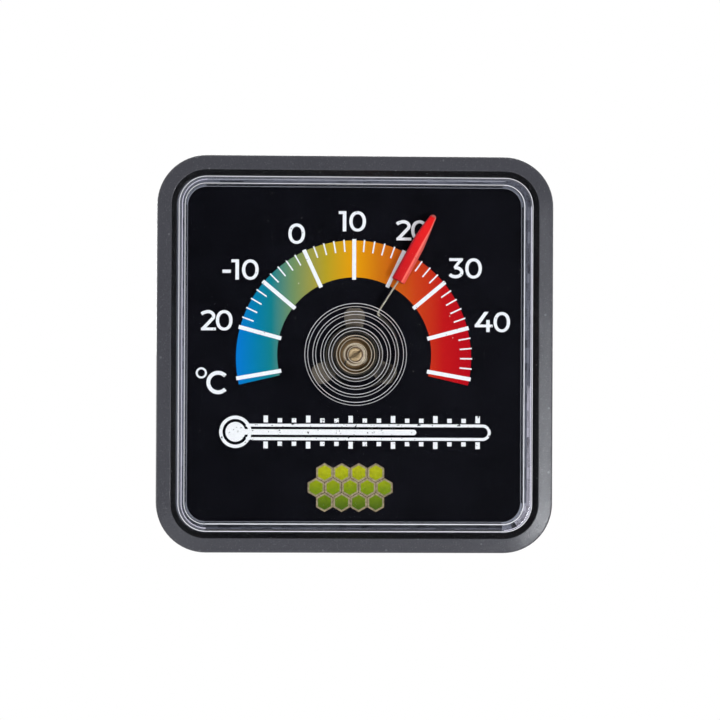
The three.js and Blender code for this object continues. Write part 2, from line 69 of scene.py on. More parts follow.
COVER_REAR, HOUSING_FRONT = depths("housing")
DIAL_REAR, DIAL_FRONT = depths("dial_plate")
LENS_FRONT = depths("lens")[1]
COIL_REAR, COIL_FRONT = depths("bimetal_coil")
FLAG_REAR, FLAG_FRONT = depths("pointer_flag")
SHANK_REAR, POST_FRONT = depths("centre_post")
HOUSING_HALF = span("housing", 0)[1]
PAD_HALF = span("adhesive_pad", 0)[1]

# Rounded squares: half widths, all with their corner arcs centred on the same four points
CORNER_CENTRE = HOUSING_HALF - 7.5
CAVITY_HALF = HOUSING_HALF - 1.6
REBATE_HALF = CAVITY_HALF + 0.5
FLANGE_HALF = CAVITY_HALF - 0.25
BEZEL_HALF = HOUSING_HALF - 2.2
LIP_HALF = BEZEL_HALF - 0.8
LENS_HALF = LIP_HALF - 0.2
LENS_INNER_HALF = LENS_HALF - 1.0
PAD_CORNER_CENTRE = PAD_HALF - 4.0

COVER_FRONT = COVER_REAR + 1.4
LIP_REAR = DIAL_FRONT + 1.0
LIP_FRONT = LIP_REAR + 1.1
LENS_INSIDE = LENS_FRONT - 1.2

# Hook pockets in the housing's walls
HOOK_HALF_WIDTH = 3.65
HOOK_TOP = DIAL_REAR - 0.25
HOOK_BOTTOM = HOOK_TOP - 1.8
POCKET_DEPTH = 0.55

# Ring ribs under the lens
RING_COUNT = 6
RING_FIRST = 1.44
RING_PITCH = 1.205
RING_FOOT = 0.272
RING_CREST = 0.178
RING_HEIGHT = 0.25

# Print
INK = 0.03
READING_ANGLE = 28.325
PRINT_CENTRE = Vector((-0.08, -0.56))
BAND_INNER = 11.72
BAND_OUTER = 17.88
DEGREES_PER_CELSIUS = 2.5
SCALE_LEAST = -30
SCALE_MIDDLE = 10
SCALE_MOST = 50
BAND_OVERHANG = 3.2
NUMERAL_HEIGHT = 3.07

# Movement
STRIP_THICKNESS = 0.2
COIL_INNER = 2.35
COIL_OUTER = 6.93
COIL_TURNS = 3.5
COIL_OPENING = 2.1
COIL_OPENING_TURNS = 0.6
COIL_END_GAP = 0.3
COIL_LEAD = 24
ARM_BEND = 0.5
POST_RADIUS = 1.0
SHOULDER_RADIUS = 2.15
SHANK_RADIUS = 0.9
CUP_FLOOR = DIAL_FRONT - 1.6
FLAG_BASE = 12.95
FLAG_LENGTH = 11.3
FLAG_HALF = 1.025
FLAG_TIP_HALF = 0.45
FLAG_PARALLEL = 5.9
FLAG_OFFSET = 0.45
ARM_INSERTION = 3.5

# Facets
SIDE_STEPS = 32
CORNER_STEPS = 16
EDGE_STEPS = 6
ROUND_STEPS = 96
OVAL_STEPS = 64
BAND_STEPS = 160
STEPS_PER_TURN = 96


# Points and meshes

def on_dial(radius, angle):
    turn = math.radians(angle)
    return Vector((radius * math.sin(turn), radius * math.cos(turn)))


def turn_point(point, angle):
    """A point of the dial's plane turned clockwise about the axis."""
    turn = math.radians(angle)
    cos, sin = math.cos(turn), math.sin(turn)
    return Vector((point[0] * cos + point[1] * sin, point[1] * cos - point[0] * sin))


def at_depth(point, depth):
    return Vector((point[0], -depth, point[1]))


def smoothstep(value, low, high):
    t = min(max((value - low) / (high - low), 0), 1)
    return t * t * (3 - 2 * t)


def add_object(name, data):
    made = bpy.data.objects.new(name, data)
    bpy.context.scene.collection.objects.link(made)
    return made


def make_object(name, points, faces, materials, face_materials=None, sharp=35):
    """A mesh object of points in millimetres, smooth except where faces meet sharply."""
    mesh = bpy.data.meshes.new(name)
    mesh.from_pydata([Vector(p) * MM for p in points], [], faces)
    for material in materials:
        mesh.materials.append(material)
    if face_materials:
        mesh.polygons.foreach_set("material_index", face_materials)
    tidy = bmesh.new()
    tidy.from_mesh(mesh)
    bmesh.ops.recalc_face_normals(tidy, faces=tidy.faces)
    tidy.to_mesh(mesh)
    tidy.free()
    mesh.shade_smooth()
    mesh.set_sharp_from_angle(angle=math.radians(sharp))
    return add_object(name, mesh)


def keep_flats(piece):
    """Lets large flat faces set the shading where they meet a rounded edge."""
    change = piece.modifiers.new("flats", "WEIGHTED_NORMAL")
    change.keep_sharp = True
    change.weight = 50


def skin(rings, closed=False):
    """Faces over rings of equal point counts. Open skins are capped at both ends."""
    points = [point for ring in rings for point in ring]
    count = len(rings[0])
    faces = []
    bands = len(rings) if closed else len(rings) - 1
    for band in range(bands):
        near = band * count
        far = (band + 1) % len(rings) * count
        for j in range(count):
            k = (j + 1) % count
            faces.append((near + j, near + k, far + k, far + j))
    if not closed:
        last = (len(rings) - 1) * count
        faces.append(tuple(range(count)))
        faces.append(tuple(range(last, last + count)))
    return points, faces


def square_ring(half, depth, corner_centre=CORNER_CENTRE):
    """A rounded square as points, with the straight sides cut finely too."""
    corner = half - corner_centre
    reach = math.radians(41)
    ring = []
    for quarter in range(4):
        for step in range(SIDE_STEPS):
            along = math.tan(reach * (2 * step / SIDE_STEPS - 1)) / math.tan(reach)
            ring.append(turn_point((along * corner_centre, half), 90 * quarter))
        for step in range(CORNER_STEPS):
            around = on_dial(corner, 90 * step / CORNER_STEPS)
            ring.append(turn_point(around + Vector((corner_centre,) * 2), 90 * quarter))
    return [at_depth(p, depth) for p in ring]


def circle_ring(radius, depth):
    """A circle whose points lie on the same rays as those of the lens's inner outline."""
    return [
        at_depth(Vector((p.x, p.z)).normalized() * radius, depth)
        for p in square_ring(LENS_INNER_HALF, depth)
    ]


def rounded_edge(half, depth, radius, start, end):
    """Half widths and depths on an arc about the given place."""
    found = []
    for step in range(EDGE_STEPS + 1):
        turn = math.radians(start + (end - start) * step / EDGE_STEPS)
        found.append((half + radius * math.cos(turn), depth + radius * math.sin(turn)))
    return found


def revolve(profile):
    """Rings about the dial's axis through radii and depths."""
    return [
        [at_depth(on_dial(radius, 360 * i / ROUND_STEPS), depth) for i in range(ROUND_STEPS)]
        for radius, depth in profile
    ]


def cut(piece, low, high, angle):
    """Takes a box, given by two corners and turned about the dial's axis, out of a piece."""
    corners = [
        at_depth(turn_point((x, z), angle), depth)
        for x in (low[0], high[0]) for depth in (low[1], high[1]) for z in (low[2], high[2])
    ]
    sides = [(0, 1, 3, 2), (4, 6, 7, 5), (0, 4, 5, 1), (2, 3, 7, 6), (0, 2, 6, 4), (1, 5, 7, 3)]
    cutter = make_object("cutter", corners, sides, list(piece.data.materials))
    change = piece.modifiers.new("cut", "BOOLEAN")
    change.operation = "DIFFERENCE"
    change.solver = "EXACT"
    change.object = cutter
    apply_modifiers(piece)
    bpy.data.objects.remove(cutter)


def apply_modifiers(piece):
    graph = bpy.context.evaluated_depsgraph_get()
    done = bpy.data.meshes.new_from_object(piece.evaluated_get(graph))
    piece.modifiers.clear()
    piece.data = done


def soften(piece, width):
    """Rounds a piece's sharp edges a little."""
    bevel = piece.modifiers.new("soften", "BEVEL")
    bevel.width = width * MM
    bevel.segments = 2
    bevel.limit_method = "ANGLE"
    bevel.angle_limit = math.radians(40)
    bevel.harden_normals = True


def runs_clockwise(outline):
    return sum(a.x * b.y - a.y * b.x for a, b in zip(outline, outline[1:] + outline[:1])) < 0


def place(piece, body, slot, *nodes):
    """Says which body a piece rides on and hides the CAD nodes it replaces. The finish's slot it
    is given is not used.
    """
    keep_flats(piece)
    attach(piece, body)
    if nodes:
        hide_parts(*nodes)


def make_ink(name, polygons, material, rear=DIAL_FRONT, front=DIAL_FRONT + INK):
    """A thin closed layer of ink on the dial over the union of flat polygons."""
    corners = []
    outlines = []
    for polygon in polygons:
        outline = [Vector(p[:2]) for p in polygon]
        if runs_clockwise(outline):
            outline.reverse()
        outlines.append(list(range(len(corners), len(corners) + len(outline))))
        corners += outline
    found = geometry.delaunay_2d_cdt(corners, [], outlines, 0, 1e-5)
    flat, triangles, sources = found[0], found[2], found[5]
    kept = [t for t, source in zip(triangles, sources) if source]
    used = sorted({i for t in kept for i in t})
    order = {i: n for n, i in enumerate(used)}
    count = len(used)
    points = [at_depth(flat[i], front) for i in used] + [at_depth(flat[i], rear) for i in used]
    faces = [tuple(order[i] for i in t) for t in kept]
    edges = {}
    for face in faces:
        for a, b in zip(face, face[1:] + face[:1]):
            edges[a, b] = edges.get((a, b), 0) + 1
    rim = [(a, b) for a, b in edges if (b, a) not in edges]
    faces += [tuple(i + count for i in reversed(face)) for face in faces]
    faces += [(b, a, a + count, b + count) for a, b in rim]
    made = make_object(name, points, faces, [material])
    tidy = bmesh.new()
    tidy.from_mesh(made.data)
    bmesh.ops.dissolve_limit(
        tidy, angle_limit=math.radians(0.5), verts=tidy.verts, edges=tidy.edges)
    tidy.to_mesh(made.data)
    tidy.free()
    place(made, "root", "dial_print")


# Materials

def colour(red, green, blue):
    """A colour given as it looks on a screen, from 0 to 255."""
    def linear(value):
        share = value / 255
        return share / 12.92 if share <= 0.04045 else ((share + 0.055) / 1.055) ** 2.4
    return (linear(red), linear(green), linear(blue), 1)


class Finish:
    """A material made node by node."""

    def __init__(self, name):
        self.material = bpy.data.materials.new(name)
        self.material.use_nodes = True
        self.tree = self.material.node_tree
        self.tree.nodes.clear()
        self.output = self.add("OutputMaterial")
        self.place = self.add("TexCoord").outputs["Object"]

    def add(self, kind, inputs=None, **settings):
        node = self.tree.nodes.new("ShaderNode" + kind)
        for name, value in settings.items():
            setattr(node, name, value)
        for name, value in (inputs or {}).items():
            if isinstance(value, bpy.types.NodeSocket):
                self.tree.links.new(value, node.inputs[name])
            else:
                node.inputs[name].default_value = value
        return node

    def noise(self, size, detail):
        """Noise whose features are about size millimetres across."""
        inputs = {"Vector": self.place, "Scale": 1 / (size * MM), "Detail": detail}
        return self.add("TexNoise", inputs).outputs["Fac"]

    def specks(self, size, share, spread):
        """1 on small round specks, 0 elsewhere: about this share of cells has one."""
        cells = self.add(
            "TexVoronoi", {"Vector": self.place, "Scale": 1 / (size * MM), "Randomness": 1})
        chosen = self.math("LESS_THAN", self.split(cells.outputs["Color"])[0], share)
        near = self.math("LESS_THAN", cells.outputs["Distance"], spread)
        return self.math("MULTIPLY", chosen, near)

    def split(self, vector):
        return self.add("SeparateXYZ", {"Vector": vector}).outputs

    def radius(self, centre=(0, 0, 0)):
        """How far a point is, seen from the front, from the dial's axis or another place."""
        offset = self.add(
            "VectorMath", {0: self.place, 1: tuple(centre)}, operation="SUBTRACT").outputs[0]
        x, _, z = self.split(offset)
        return self.length(x, z)

    def length(self, first, second):
        squares = [self.math("MULTIPLY", side, side) for side in (first, second)]
        return self.math("SQRT", self.math("ADD", *squares))

    def math(self, operation, first, second=0.0):
        return self.add("Math", {0: first, 1: second}, operation=operation).outputs[0]

    def remap(self, value, low, high, to_low=0.0, to_high=1.0):
        inputs = {"Value": value, "From Min": low, "From Max": high,
                  "To Min": to_low, "To Max": to_high}
        return self.add("MapRange", inputs).outputs[0]

    def ramp(self, value, stops):
        """A colour ramp through (position, colour) stops."""
        node = self.add("ValToRGB", {"Fac": value})
        elements = node.color_ramp.elements
        while len(elements) < len(stops):
            elements.new(0.5)
        for element, (position, shade) in zip(elements, stops):
            element.position = position
            element.color = shade
        return node.outputs["Color"]

    def blend(self, share, first, second):
        """The first colour, or the second where the share is 1."""
        return self.add("Mix", {0: share, 6: first, 7: second}, data_type="RGBA").outputs[2]

    def mix(self, share, first, second):
        """The first shader, or the second where the share is 1."""
        return self.add("MixShader", {0: share, 1: first, 2: second}).outputs[0]

    def bump(self, height, distance, strength):
        inputs = {"Height": height, "Distance": distance * MM, "Strength": strength}
        return self.add("Bump", inputs).outputs["Normal"]

    def principled(self, inputs):
        return self.add("BsdfPrincipled", inputs).outputs["BSDF"]

    def done(self, shader):
        self.tree.links.new(shader, self.output.inputs["Surface"])
        return self.material


def moulded(name, dark, light, roughness, grain, specks, coarse=None, relief=0.02, gloss=0.45):
    """Fine matte grain of a moulded plastic, with faint pale specks."""
    f = Finish(name)
    fine = f.noise(grain, 4)
    cloud = f.noise(9, 2)
    base = f.ramp(f.math("ADD", f.math("MULTIPLY", fine, 0.75), f.math("MULTIPLY", cloud, 0.25)),
                  [(0.32, dark), (0.68, light)])
    for flecks, strength in ((f.specks(grain * 3, specks, 0.3), 0.2),
                             (f.specks(grain, 0.12, 0.4), 0.12)):
        base = f.blend(f.math("MULTIPLY", flecks, strength), base, colour(150, 152, 156))
    rough = f.remap(fine, 0.3, 0.7, roughness * 0.8, roughness * 1.2)
    height = fine if coarse is None else f.math("ADD", fine, f.noise(coarse, 2))
    return f.done(f.principled({
        "Base Color": base, "Roughness": rough, "Specular IOR Level": gloss,
        "Normal": f.bump(height, relief, 0.5)}))


def clear(name, tint, roughness, haze=0.0, haze_colour=(1, 1, 1, 1)):
    """Clear plastic that lets lamps through to what it covers. Haze is the milky share of it."""
    f = Finish(name)
    wave = f.noise(2.5, 1)
    body = f.principled({
        "Base Color": tint, "Roughness": roughness, "IOR": 1.49, "Transmission Weight": 1.0,
        "Normal": f.bump(wave, 0.004, 0.3)})
    if haze:
        milky = f.principled({
            "Base Color": haze_colour, "Roughness": 0.5, "Specular IOR Level": 0.3,
            "Normal": f.bump(f.noise(0.25, 2), 0.01, 0.4)})
        body = f.mix(haze, body, milky)
    path = f.add("LightPath")
    through = f.add("BsdfTransparent").outputs[0]
    for ray in ("Is Diffuse Ray", "Is Shadow Ray"):
        body = f.mix(path.outputs[ray], body, through)
    return f.done(body)


def ink(name, shade, speck_share, wear=0.0):
    """Opaque print with a slightly uneven coat and small faults where the ground shows."""
    f = Finish(name)
    coat = f.noise(0.35, 3)
    base = f.ramp(coat, [(0.3, tuple(0.93 * c for c in shade[:3]) + (1,)), (0.7, shade)])
    base = f.blend(f.specks(0.22, speck_share, 0.33), base, colour(40, 40, 44))
    if wear:
        worn = f.remap(f.noise(0.55, 5), 0.66 - wear, 0.7 - wear)
        base = f.blend(worn, base, colour(60, 60, 64))
    return f.done(f.principled({
        "Base Color": base, "Roughness": 0.45, "Specular IOR Level": 0.06,
        "Normal": f.bump(coat, 0.01, 0.3)}))


def band_ink():
    """The scale's colours, which run from left to right across the dial."""
    f = Finish("band_ink")
    across = f.remap(f.split(f.place)[0],
                     (PRINT_CENTRE.x - BAND_OUTER) * MM, (PRINT_CENTRE.x + BAND_OUTER) * MM)
    shade = f.ramp(across, [
        (0.0, colour(0, 120, 206)), (0.09, colour(0, 126, 166)), (0.15, colour(16, 127, 136)),
        (0.24, colour(112, 144, 96)), (0.38, colour(184, 160, 36)), (0.50, colour(236, 160, 6)),
        (0.60, colour(214, 122, 16)), (0.76, colour(206, 68, 24)), (0.88, colour(194, 20, 22)),
        (1.0, colour(182, 0, 22)),
    ])
    grain = f.noise(0.18, 3)
    shade = f.blend(f.remap(grain, 0.35, 0.7, 0, 0.05), shade, colour(30, 26, 22))
    shade = f.blend(f.specks(0.5, 0.012, 0.16), shade, colour(226, 216, 196))
    return f.done(f.principled({
        "Base Color": shade, "Roughness": 0.42, "Specular IOR Level": 0.03,
        "Normal": f.bump(grain, 0.01, 0.3)}))


def dial_ground():
    """Satin black print with a little dust on it."""
    f = Finish("dial_black")
    cloud = f.noise(6, 3)
    base = f.ramp(cloud, [(0.3, colour(8, 8, 13)), (0.7, colour(14, 14, 20))])
    dust = f.math("MAXIMUM", f.specks(0.9, 0.045, 0.085), f.specks(2.2, 0.05, 0.04))
    base = f.blend(f.math("MULTIPLY", dust, 0.5), base, colour(150, 148, 142))
    fine = f.noise(0.3, 3)
    return f.done(f.principled({
        "Base Color": base, "Roughness": f.remap(fine, 0.3, 0.7, 0.4, 0.52),
        "Specular IOR Level": 0.02, "Normal": f.bump(fine, 0.004, 0.3)}))


def metal(name, dark, light, roughness, size, metallic=1.0):
    """Metal with fine working marks."""
    f = Finish(name)
    marks = f.noise(size, 4)
    base = f.ramp(marks, [(0.3, dark), (0.7, light)])
    rough = f.remap(marks, 0.3, 0.7, roughness - 0.07, roughness + 0.1)
    return f.done(f.principled({
        "Base Color": base, "Metallic": metallic, "Roughness": rough,
        "Normal": f.bump(marks, 0.006, 0.4)}))


def turned_brass():
    """Brass with the fine rings that turning leaves. By radius it is tan on the post, darker brown
    beside it, pale on the rim's crest as painted highlight, and brown-gold outside, with a painted
    glint at the lower right.
    """
    f = Finish("turned_brass")
    radius = f.radius()
    rings = f.math("SINE", f.math("MULTIPLY", radius, 2 * math.pi / (0.09 * MM)))
    marks = f.noise(0.2, 4)
    # Colour by radius: tan post face, darker brown beside it, pale cream on the rim's crest as
    # painted highlight, brown-gold beyond.
    zones = f.ramp(f.remap(radius, 0, 2.5 * MM), [
        (0.0, colour(198, 170, 128)), (0.40, colour(190, 162, 120)), (0.42, colour(104, 78, 52)),
        (0.53, colour(120, 92, 62)), (0.56, colour(240, 222, 192)), (0.68, colour(236, 218, 186)),
        (0.72, colour(172, 138, 96)), (0.86, colour(140, 108, 72)),
    ])
    base = f.blend(f.remap(marks, 0.35, 0.7, 0, 0.35), zones, colour(70, 54, 34))
    # Painted glint: a pale spot on the rim at the lower right.
    painted_glint = f.radius(at_depth(on_dial(1.8, 118), 0) * MM)
    base = f.blend(f.remap(painted_glint, 0.2 * MM, 0.7 * MM, 0.8, 0), base, colour(255, 240, 212))
    height = f.math("ADD", f.math("MULTIPLY", rings, 0.3), marks)
    return f.done(f.principled({
        "Base Color": base, "Metallic": 0.15, "Roughness": f.remap(marks, 0.3, 0.7, 0.34, 0.5),
        "Normal": f.bump(height, 0.006, 0.4)}))


def stamped_metal():
    """Stamped metal, brown on its cup's floor, with painted shade in black round that and on its
    right foot.
    """
    f = Finish("stamped_metal")
    marks = f.noise(0.25, 4)
    base = f.ramp(marks, [(0.3, colour(80, 72, 60)), (0.7, colour(102, 92, 78))])
    base = f.blend(f.remap(f.noise(0.9, 3), 0.45, 0.7, 0, 0.5), base, colour(70, 62, 52))
    # Painted shade: black over the cup round the post, and a black patch on the foot at 4 o'clock.
    black = colour(16, 14, 13)
    base = f.blend(f.remap(f.radius(), 3.9 * MM, 4.4 * MM, 1, 0), base, black)
    base = f.blend(f.remap(f.radius(), 2.7 * MM, 3.1 * MM, 0.9, 0), base, colour(150, 116, 76))
    painted_foot_shade = f.radius(at_depth(on_dial(5.4, 120), 0) * MM)
    base = f.blend(f.remap(painted_foot_shade, 1.15 * MM, 1.6 * MM, 0.9, 0), base, black)
    return f.done(f.principled({
        "Base Color": base, "Metallic": 0.4, "Roughness": f.remap(marks, 0.3, 0.7, 0.45, 0.6),
        "Normal": f.bump(marks, 0.006, 0.4)}))


def red_plastic(name, dark, light):
    """Satin red plastic that grows lighter from the flag's root to its tip."""
    f = Finish(name)
    fine = f.noise(0.15, 3)
    along = f.add("VectorMath", {0: f.place, 1: at_depth(on_dial(1, READING_ANGLE), 0)},
                  operation="DOT_PRODUCT").outputs["Value"]
    shade = f.math("ADD", f.remap(along, 12.5 * MM, 23 * MM, 0, 0.8),
                   f.math("MULTIPLY", f.noise(1.6, 3), 0.2))
    base = f.ramp(shade, [(0.1, dark), (0.9, light)])
    base = f.blend(f.specks(0.5, 0.05, 0.14), base, colour(150, 16, 22))
    return f.done(f.principled({
        "Base Color": base, "Roughness": f.remap(fine, 0.3, 0.7, 0.4, 0.48),
        "Specular IOR Level": 0.16, "Subsurface Weight": 0.08,
        "Subsurface Radius": (0.6 * MM, 0.15 * MM, 0.1 * MM), "Subsurface Scale": 1.0,
        "Normal": f.bump(fine, 0.008, 0.35)}))


def foam():
    """Closed-cell foam tape under a smooth adhesive film."""
    f = Finish("foam")
    cells = f.add("TexVoronoi", {"Vector": f.place, "Scale": 1 / (0.28 * MM)}).outputs["Distance"]
    cloud = f.noise(4, 3)
    base = f.ramp(f.math("ADD", f.math("MULTIPLY", cells, 0.5), f.math("MULTIPLY", cloud, 0.5)),
                  [(0.25, colour(212, 210, 203)), (0.65, colour(236, 235, 230))])
    return f.done(f.principled({
        "Base Color": base, "Roughness": f.remap(cloud, 0.3, 0.7, 0.7, 0.9),
        "Specular IOR Level": 0.25, "Normal": f.bump(cells, 0.03, 0.6)}))


housing_plastic = moulded(
    "housing_grain", colour(65, 65, 70), colour(75, 75, 81), 0.12, 0.2, 0.03, relief=0.06,
    gloss=0.34)
# A near-black copy of the housing's plastic for the bezel's inner slope and the groove round the
# lens: painted shade in the recess.
recess_painted_shade = moulded(
    "recess_grain_painted_shade", colour(8, 8, 12), colour(14, 14, 19), 0.6, 0.2, 0.02)
cover_plastic = moulded(
    "cover_grain", colour(30, 31, 33), colour(42, 43, 46), 0.6, 0.22, 0.03, coarse=0.6)
clear_plastic = clear("clear_plastic", colour(250, 252, 255), 0.02)
# Milky rib flanks paint the bright lines that the ring ribs' edges catch: painted highlights. The
# warm copy paints the brass hub's reflection in the two inner rings.
clear_rib_highlight = clear("clear_rib_highlight", colour(240, 242, 250), 0.25, 0.97, colour(255, 253, 255))
clear_rib_warm_reflection = clear("clear_rib_warm_reflection", colour(240, 242, 250), 0.25, 0.95, colour(255, 238, 214))
# Milky copies for the rim's bright lines and for a faint grey line: painted highlights.
clear_highlight_line = clear("clear_highlight_line", colour(240, 242, 250), 0.2, 0.97, colour(250, 250, 255))
clear_faint_highlight = clear("clear_faint_highlight", colour(240, 242, 250), 0.2, 0.5, colour(200, 202, 214))
# Milky copies of one clear plastic in four shades: painted highlights and painted shade on the
# lens's rim.
clear_painted_bright, clear_painted_pale, clear_painted_dim, clear_painted_dark = (
    clear("clear_" + name, colour(225, 228, 245), 0.3, haze, colour(*shade))
    for name, haze, shade in (
        ("bright", 0.9, (216, 212, 228)), ("pale", 0.8, (148, 150, 166)),
        ("dim", 0.8, (104, 106, 120)), ("dark", 0.8, (40, 42, 52)))
)
dial_black = dial_ground()
white_ink = ink("white_ink", colour(250, 251, 253), 0.02)
worn_ink = ink("worn_white_ink", colour(250, 250, 250), 0.05, wear=0.02)
scale_ink = band_ink()
bronze_ink = metal("bronze_ink", colour(112, 97, 70), colour(164, 146, 112), 0.42, 0.3, 0.4)
brass = turned_brass()
stamped = stamped_metal()
spring = metal("spring_steel", colour(128, 128, 126), colour(168, 168, 164), 0.35, 0.15)
# The coil's strip is a dark copy of the metal whose lighter copy below is the arm's: painted dark
# reflection on the coil.
bimetal = metal("bimetal", colour(38, 34, 28), colour(66, 60, 49), 0.45, 0.2, 0.5)
bimetal_gold = metal("bimetal_gold", colour(104, 84, 54), colour(140, 116, 80), 0.45, 0.2, 0.3)
bimetal_bright = metal(
    "bimetal_bright", colour(158, 152, 134), colour(196, 190, 170), 0.45, 0.2, 0.4)
flag_red = red_plastic("red_plastic", colour(196, 8, 18), colour(240, 22, 22))
# Lighter and darker copies of the flag's red: painted highlight on the right bevel, the right wall
# and the tip, and painted shade on the left and rear faces.
flag_edge_highlight = red_plastic("red_plastic_edge_highlight", colour(250, 98, 84), colour(250, 110, 98))
flag_side_shade = red_plastic("red_plastic_side_shade", colour(172, 12, 30), colour(200, 36, 44))
flag_rim_highlight = red_plastic("red_plastic_rim_highlight", colour(236, 76, 62), colour(180, 86, 78))
foam_white = foam()


# Housing

def make_housing():
    slope = 5
    rear_edge, edge, lip_edge, window_edge = 0.4, 0.3, 0.14, 0.12
    sections = rounded_edge(HOUSING_HALF - rear_edge, COVER_REAR + rear_edge, rear_edge, -90, 0)
    drop = (HOUSING_HALF - edge - BEZEL_HALF) * math.tan(math.radians(slope))
    sections += rounded_edge(
        HOUSING_HALF - edge, HOUSING_FRONT - edge - drop, edge, 0, 90 - slope)
    sections += rounded_edge(BEZEL_HALF + lip_edge, HOUSING_FRONT - lip_edge, lip_edge, 90, 155)
    recess = len(sections) - 1
    sections += rounded_edge(
        LIP_HALF + window_edge, LIP_FRONT - window_edge, window_edge, 90, 180)
    sections += [
        (LIP_HALF, LIP_REAR), (CAVITY_HALF, LIP_REAR), (CAVITY_HALF, COVER_FRONT),
        (REBATE_HALF, COVER_FRONT), (REBATE_HALF, COVER_REAR),
    ]
    rings = [square_ring(half, depth) for half, depth in sections]
    points, faces = skin(rings, closed=True)
    per_band = len(rings[0])
    # The faces from the bezel's inner edge down into the groove take the near-black copy: painted
    # shade.
    kinds = [1 if recess <= i // per_band <= recess + EDGE_STEPS + 2 else 0
             for i in range(len(faces))]
    made = make_object("housing_frame", points, faces, [housing_plastic, recess_painted_shade], kinds)
    for side in range(4):
        low = (-HOOK_HALF_WIDTH, HOOK_BOTTOM, CAVITY_HALF - 0.3)
        high = (HOOK_HALF_WIDTH, HOOK_TOP, CAVITY_HALF + POCKET_DEPTH)
        cut(made, low, high, 90 * side)
    place(made, "root", "housing_plastic", "housing")


# Lens

def lens_zone(kind, j):
    """The finish of a lens band's face number j, for bands that differ round the square."""
    if not isinstance(kind, tuple):
        return kind
    quarter, step = divmod(j, SIDE_STEPS + CORNER_STEPS)
    if step < SIDE_STEPS:
        kind, share = kind[2 * quarter], step / SIDE_STEPS
    else:
        kind, share = kind[2 * quarter + 1], (step - SIDE_STEPS) / CORNER_STEPS
    return kind[int(share * len(kind))] if isinstance(kind, tuple) else kind


def make_lens():
    edge, flange_round, fillet = 0.5, 0.15, 0.35
    plain, line, bright, pale, dim, dark, rib_highlight, faint, warm_reflection = range(9)
    # Finishes at the top, the corner to its right, the right and so on, and those along one side.
    # They paint light on the rim: painted highlights, brightest to the right, a painted glint with
    # a dark notch at the lower right corner, and painted shade in the dim and dark bands
    corner_glint = (bright, bright, bright, bright, bright, dark, pale, pale)
    lit_side_band = (pale, pale, pale, pale, pale, bright, bright, bright)
    foot = (dim, dim, lit_side_band, corner_glint, dim, dim, dim, dim)
    root = (dim, dim, dim, corner_glint, dark, dim, dim, dim)
    wedge = (plain, dim, plain, pale, plain, dim, plain, dim)
    left = (faint, plain, plain, plain, plain, bright, bright, bright)
    right = (plain, plain, bright, bright, plain, plain, plain, plain)
    wide = (plain, line, line, line, line, plain, plain, plain)
    outer_edge = rounded_edge(LENS_HALF - edge, LENS_FRONT - edge, edge, 90, 0)
    flange_edge = rounded_edge(
        FLANGE_HALF - flange_round, LIP_REAR - flange_round, flange_round, 90, 0)
    wall = LENS_INNER_HALF - 0.04
    wall_offset = Vector((-0.12, 0, 0.035))
    inner_edge = rounded_edge(wall - fillet, LENS_INSIDE - fillet, fillet, 0, 90)
    step = LENS_INNER_HALF - 0.46
    step_top = DIAL_FRONT + 0.6
    sections = [(p, "square", kind) for p, kind in (
        [((LENS_HALF - edge - 0.12, LENS_FRONT), left)]
        + list(zip(outer_edge, [plain, right, plain, line, line, line, plain]))
        + [((LENS_HALF, LIP_REAR), plain)]
        + [(p, plain) for p in flange_edge]
        + [((FLANGE_HALF, DIAL_FRONT), foot), ((LENS_HALF, DIAL_FRONT), foot),
           ((LENS_HALF - 0.55, DIAL_FRONT), root), ((LENS_INNER_HALF, DIAL_FRONT), plain),
           ((step, DIAL_FRONT), plain), ((step, step_top - 0.12), faint),
           ((step + 0.1, step_top), wedge), ((wall, step_top), plain)]
    )]
    wall_at = len(sections) - 1
    # The inner edge's first faces take the milky line finish: a painted highlight line.
    sections += [(p, "square", kind)
                 for p, kind in zip(inner_edge, [line] * 3 + [wide] + [plain] * 3)]
    crest = LENS_INSIDE - RING_HEIGHT
    for ring in reversed(range(RING_COUNT)):
        radius = RING_FIRST + RING_PITCH * ring
        # Painted highlight lines on the rib flanks, cream over the hub as a painted reflection of
        # the brass.
        slope = warm_reflection if ring < 2 else rib_highlight
        for offset, depth, kind in (
            (RING_FOOT, LENS_INSIDE, slope), (RING_CREST, crest, plain),
            (-RING_CREST, crest, slope), (-RING_FOOT, LENS_INSIDE, plain),
        ):
            sections.append(((radius + offset, depth), "circle", kind))
    rings = []
    for i, ((size, depth), form, _) in enumerate(sections):
        ring = square_ring(size, depth) if form == "square" else circle_ring(size, depth)
        if wall_at <= i < wall_at + 1 + len(inner_edge):
            ring = [p + wall_offset for p in ring]
        rings.append(ring)
    points, faces = skin(rings)
    per_band = len(rings[0])
    kinds = [lens_zone(sections[i // per_band][2], i % per_band) for i in range(len(faces) - 2)]
    parts = [clear_plastic, clear_highlight_line, clear_painted_bright, clear_painted_pale, clear_painted_dim, clear_painted_dark,
             clear_rib_highlight, clear_faint_highlight, clear_rib_warm_reflection]
    made = make_object("lens_tray", points, faces, parts, kinds + [plain, plain], sharp=50)
    place(made, "root", "lens_plastic", "lens")


# Print

def bar(start, end, width):
    """A straight stroke with square ends."""
    start, end = Vector(start), Vector(end)
    side = (end - start).orthogonal().normalized() * width / 2
    return [start - side, end - side, end + side, start + side]


def stroke(line, width):
    """A curved stroke of even width along a line of points, as a row of quadrilaterals."""
    left, right = [], []
    for i, point in enumerate(line):
        along = Vector(line[min(i + 1, len(line) - 1)]) - Vector(line[max(i - 1, 0)])
        side = along.orthogonal().normalized() * width / 2
        left.append(Vector(point) + side)
        right.append(Vector(point) - side)
    return [[left[i], right[i], right[i + 1], left[i + 1]] for i in range(len(line) - 1)]


